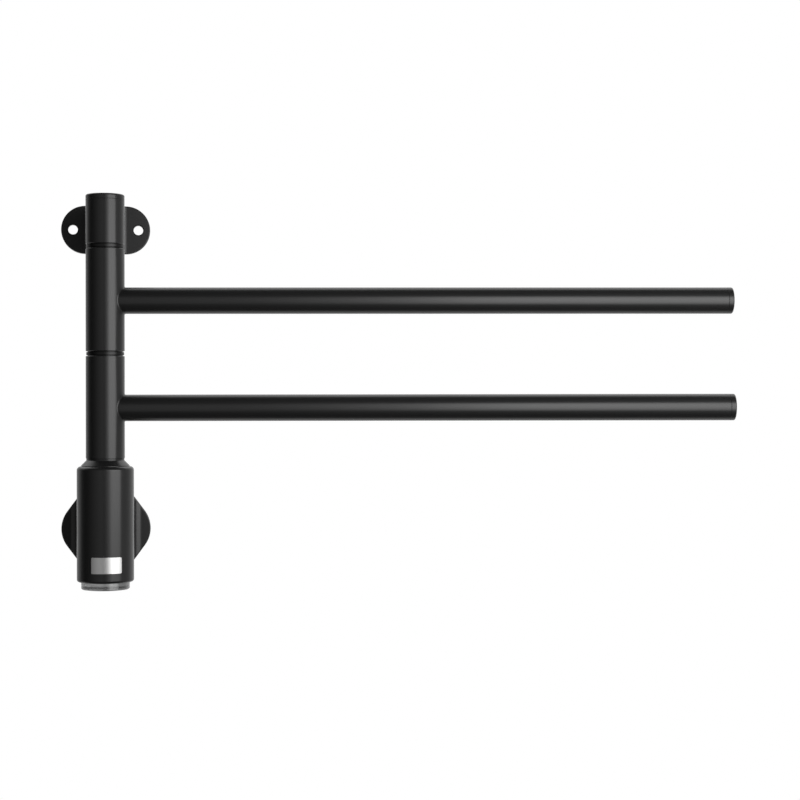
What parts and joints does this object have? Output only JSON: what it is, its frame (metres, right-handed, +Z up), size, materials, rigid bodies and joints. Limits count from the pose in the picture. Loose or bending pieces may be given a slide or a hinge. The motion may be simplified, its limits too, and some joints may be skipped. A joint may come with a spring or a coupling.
{
  "type": "swing-arm towel holder",
  "caption": "Wall-mounted towel holder: warmed swing arms on one upright post, a wall flange at each end, hidden wiring and a clear push button underneath.",
  "frame": {"origin": "centre of the lower wall flange's back face, on the wall plane and on the cable inlet's axis", "axes": "+X along the wall to the right as seen from the room, +Y into the wall, +Z up"},
  "size_m": [0.5013, 0.1341, 0.2941],
  "materials": {
    "black_coat": "fine satin powder coat",
    "black_ring": "fine matt moulding",
    "clear_acrylic": "clear, polished",
    "steel": "zinc-plated, faintly turned",
    "bush_plastic": "natural acetal",
    "chassis_plastic": "fine matt moulding",
    "board_laminate": "satin solder mask",
    "relay_case": "satin",
    "terminal_plastic": "satin",
    "lamp_lens": "clear lens over a pale body",
    "capacitor_sleeve": "satin",
    "wire_sheath": "smooth sheath",
    "grommet_rubber": "matt"
  },
  "bodies": {
    "wall_post": {"upper_bracket": "black_coat", "top_cap": "black_coat", "lower_bearing_collar": "black_coat", "lower_housing": "black_coat", "upper_bearing_ring": "black_ring", "middle_bearing_ring": "black_ring", "button_retainer": "black_ring", "spindle_tube": "steel", "spindle_lock_nut": "steel", "spindle_nut": "steel", "tension_washer": "steel", "wall_plate": "steel", "clamp_screw": "steel", "button_spring": "steel", "upper_stop_collar": "steel", "lower_stop_collar": "steel", "control_chassis": "chassis_plastic", "button_switch": "chassis_plastic", "control_board": "board_laminate", "switch_board": "board_laminate", "power_relay": "relay_case", "terminal_block": "terminal_plastic", "board_connector": "terminal_plastic", "cable_clamp": "terminal_plastic", "indicator_lamps": "lamp_lens", "board_capacitor": "capacitor_sleeve", "supply_wires": "wire_sheath", "riser_wires": "wire_sheath", "cable_grommet": "grommet_rubber"},
    "upper_swing_arm": {"upper_arm": "black_coat", "upper_end_cap": "black_coat", "upper_hub_top_bush": "bush_plastic", "upper_hub_stop_bush": "bush_plastic", "upper_heating_cable": "wire_sheath"},
    "lower_swing_arm": {"lower_arm": "black_coat", "lower_end_cap": "black_coat", "lower_hub_top_bush": "bush_plastic", "lower_hub_stop_bush": "bush_plastic", "lower_heating_cable": "wire_sheath"},
    "button": {"push_button": "clear_acrylic"}
  },
  "joints": [
    {"name": "upper_arm_swing", "type": "hinge", "parent": "wall_post", "child": "upper_swing_arm", "pos_m": [0, -0.055, 0.1734], "axis": [0, 0, -1], "range_deg": [-7.4, 172.6]},
    {"name": "lower_arm_swing", "type": "hinge", "parent": "wall_post", "child": "lower_swing_arm", "pos_m": [0, -0.055, 0.0934], "axis": [0, 0, -1], "range_deg": [-8.5, 171.5]},
    {"name": "button_press", "type": "slide", "parent": "wall_post", "child": "button", "axis": [0, 0, 1], "range_m": [0, 0.0015], "stiffness_N_per_m": 900, "springref_m": -0.002, "deforming": ["button_spring"]}
  ]
}
